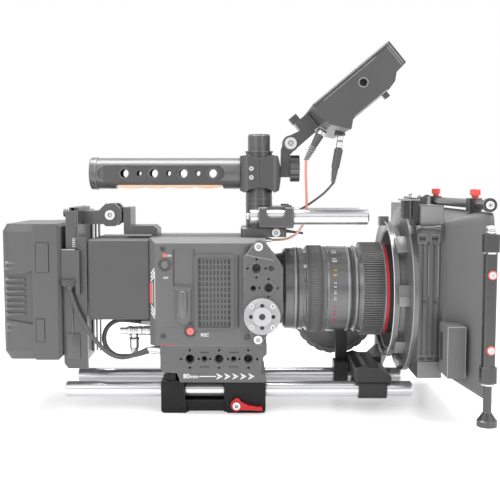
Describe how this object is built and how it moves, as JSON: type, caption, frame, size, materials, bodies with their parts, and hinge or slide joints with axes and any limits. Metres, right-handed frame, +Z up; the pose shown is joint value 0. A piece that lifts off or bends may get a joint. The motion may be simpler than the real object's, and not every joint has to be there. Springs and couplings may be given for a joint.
{
  "type": "cinema camera rig",
  "caption": "Cinema camera on a rod base plate, with lens, follow focus, swing-away matte box, top handle, tilting monitor and rear battery mount.",
  "frame": {"origin": "the tripod thread's mouth in the middle of the base plate's underside", "axes": "+X towards the lens, +Y to the far side, +Z up"},
  "size_m": [0.4436, 0.2824, 0.3447],
  "materials": {
    "black_metal": "black hard anodising, fine satin",
    "camera_black": "dark grey powder coat",
    "cage_black": "satin black anodising",
    "red_lever": "red anodising",
    "red_knob": "light red anodising",
    "bright_steel": "ground and polished bar",
    "silver_metal": "clear anodising",
    "screw_steel": "plain steel",
    "pack_plastic": "fine grained plastic",
    "battery_plastic": "grained plastic",
    "wood": "oiled light hardwood",
    "red_button": "translucent red",
    "dark_button": "soft black",
    "monitor_plastic": "fine grained plastic",
    "screen_glass": "dark display glass",
    "lens_black": "satin black barrel paint",
    "lens_glass": "coated glass",
    "ring_rubber": "ribbed grip",
    "matte_plastic_black": "flocked and moulded black",
    "cable_black": "black sheath",
    "cable_red": "red sheath",
    "fan_plastic": "black plastic"
  },
  "bodies": {
    "base": {"base_plate": "black_metal", "lever_bolt": "screw_steel", "support_rods": "bright_steel", "focus_bracket": "black_metal"},
    "camera": {"riser_plate": "cage_black", "camera_body": "camera_black", "side_cover": "camera_black", "cage_side_plate": "cage_black", "rosette": "silver_metal", "socket_screws": "screw_steel", "camera_packs": "pack_plastic", "arm_base": "cage_black", "pivot_bolts": "screw_steel", "post_column": "cage_black", "post_clamp": "cage_black", "handle_tube": "cage_black", "handle_cap": "cage_black", "handle_grip": "wood", "top_rod_clamp": "cage_black", "monitor_arm_lower": "cage_black", "lens_adapter": "lens_black", "lens_barrel": "lens_black", "front_glass": "lens_glass", "camera_plugs": "silver_metal", "power_cable": "cable_black", "signal_cable": "cable_black", "red_cable": "cable_red", "monitor_cable": "cable_black"},
    "battery_mount": {"swing_arm": "cage_black", "battery_plate": "cage_black", "comb_plate": "pack_plastic", "power_plug": "cable_black"},
    "battery": {"battery_case": "battery_plastic", "battery_cover": "battery_plastic"},
    "monitor": {"monitor_arm_upper": "cage_black", "monitor_housing": "monitor_plastic", "monitor_screen": "screen_glass", "monitor_plugs": "cable_black"},
    "top_rods": {"top_rods": "bright_steel"},
    "matte_carriage": {"matte_bracket": "black_metal"},
    "matte_box": {"matte_ring": "matte_plastic_black", "filter_stage": "matte_plastic_black", "hood": "matte_plastic_black", "flag_bar": "black_metal", "hood_posts": "black_metal"},
    "filter_tray_rear": {"filter_tray_rear": "matte_plastic_black"},
    "filter_tray_front": {"filter_tray_front": "matte_plastic_black"},
    "thumb_screw_near": {"thumb_screw_near": "red_knob"},
    "thumb_screw_far": {"thumb_screw_far": "red_knob"},
    "clamp_lever": {"clamp_lever": "red_lever"},
    "rod_lever": {"rod_lever": "black_metal"},
    "base_lever": {"base_lever": "black_metal"},
    "rec_button": {"rec_button": "red_button"},
    "power_button": {"power_button": "dark_button"},
    "cooling_fan": {"cooling_fan": "fan_plastic"},
    "zoom_ring": {"zoom_ring": "ring_rubber"},
    "focus_ring": {"focus_ring": "lens_black"},
    "drive_gear": {"drive_gear": "black_metal"},
    "handwheel": {"handwheel": "black_metal"},
    "arm_knob": {"arm_knob": "black_metal"}
  },
  "joints": [
    {"name": "camera_slide", "type": "slide", "parent": "base", "child": "camera", "axis": [1, 0, 0], "range_m": [-0.03, 0]},
    {"name": "clamp_lever_turn", "type": "hinge", "parent": "base", "child": "clamp_lever", "pos_m": [0.0222, -0.0477, 0.0086], "axis": [0, 1, 0], "range_deg": [-60, 0]},
    {"name": "battery_swing", "type": "hinge", "parent": "camera", "child": "battery_mount", "pos_m": [-0.101, 0, 0.1884], "axis": [0, 1, 0], "range_deg": [0, 24], "deforming": ["power_cable"]},
    {"name": "battery_lift", "type": "slide", "parent": "battery_mount", "child": "battery", "axis": [0, 0, 1], "range_m": [0, 0.045]},
    {"name": "monitor_tilt", "type": "hinge", "parent": "camera", "child": "monitor", "pos_m": [0.0746, 0, 0.2579], "axis": [0, 1, 0], "range_deg": [-60, 15], "deforming": ["red_cable", "monitor_cable"]},
    {"name": "top_rods_slide", "type": "slide", "parent": "camera", "child": "top_rods", "axis": [1, 0, 0], "range_m": [-0.02, 0.03]},
    {"name": "matte_slide", "type": "slide", "parent": "base", "child": "matte_carriage", "axis": [1, 0, 0], "range_m": [0, 0.02]},
    {"name": "matte_swing", "type": "hinge", "parent": "matte_carriage", "child": "matte_box", "pos_m": [0.182, 0.092, 0.048], "axis": [0, 0, 1], "range_deg": [0, 85]},
    {"name": "tray_rear_lift", "type": "slide", "parent": "matte_box", "child": "filter_tray_rear", "axis": [0, 0, 1], "range_m": [0, 0.1]},
    {"name": "tray_front_lift", "type": "slide", "parent": "matte_box", "child": "filter_tray_front", "axis": [0, 0, 1], "range_m": [0, 0.1]},
    {"name": "thumb_near_turn", "type": "hinge", "parent": "matte_box", "child": "thumb_screw_near", "pos_m": [0.237, -0.078, 0.208], "axis": [0, 0, 1], "range_deg": [0, 180]},
    {"name": "thumb_far_turn", "type": "hinge", "parent": "matte_box", "child": "thumb_screw_far", "pos_m": [0.237, 0.078, 0.208], "axis": [0, 0, 1], "range_deg": [0, 180]},
    {"name": "rod_lever_turn", "type": "hinge", "parent": "camera", "child": "rod_lever", "pos_m": [0.071, 0.0423, 0.1794], "axis": [0, 1, 0], "range_deg": [-90, 0]},
    {"name": "base_lever_turn", "type": "hinge", "parent": "camera", "child": "base_lever", "pos_m": [0.062, 0.0338, 0.1717], "axis": [0, 1, 0], "range_deg": [0, 60]},
    {"name": "rec_button_press", "type": "slide", "parent": "camera", "child": "rec_button", "axis": [0, 1, 0], "range_m": [0, 0.0008], "stiffness_N_per_m": 300},
    {"name": "power_button_press", "type": "slide", "parent": "camera", "child": "power_button", "axis": [0, 1, 0], "range_m": [0, 0.0008], "stiffness_N_per_m": 300},
    {"name": "fan_spin", "type": "hinge", "parent": "camera", "child": "cooling_fan", "pos_m": [0.0015, -0.033, 0.1165], "axis": [0, 1, 0], "continuous": true},
    {"name": "zoom_turn", "type": "hinge", "parent": "camera", "child": "zoom_ring", "pos_m": [0.101, 0, 0.1145], "axis": [1, 0, 0], "range_deg": [-45, 45]},
    {"name": "focus_turn", "type": "hinge", "parent": "camera", "child": "focus_ring", "pos_m": [0.153, 0, 0.1145], "axis": [1, 0, 0], "range_deg": [-60, 60]},
    {"name": "drive_turn", "type": "hinge", "parent": "base", "child": "drive_gear", "pos_m": [0.152, 0.04977, 0.078], "axis": [1, 0, 0], "range_deg": [-172, 172]},
    {"name": "handwheel_turn", "type": "hinge", "parent": "base", "child": "handwheel", "pos_m": [0.127, 0.08, 0.078], "axis": [0, 1, 0], "range_deg": [-172, 172]},
    {"name": "arm_knob_turn", "type": "hinge", "parent": "camera", "child": "arm_knob", "pos_m": [0.079, 0, 0.2337], "axis": [1, 0, 0], "range_deg": [0, 180]}
  ],
  "couplings": [
    {"joint": "drive_turn", "follows": "focus_turn", "ratio": -2.85},
    {"joint": "handwheel_turn", "follows": "focus_turn", "ratio": 2.85}
  ]
}
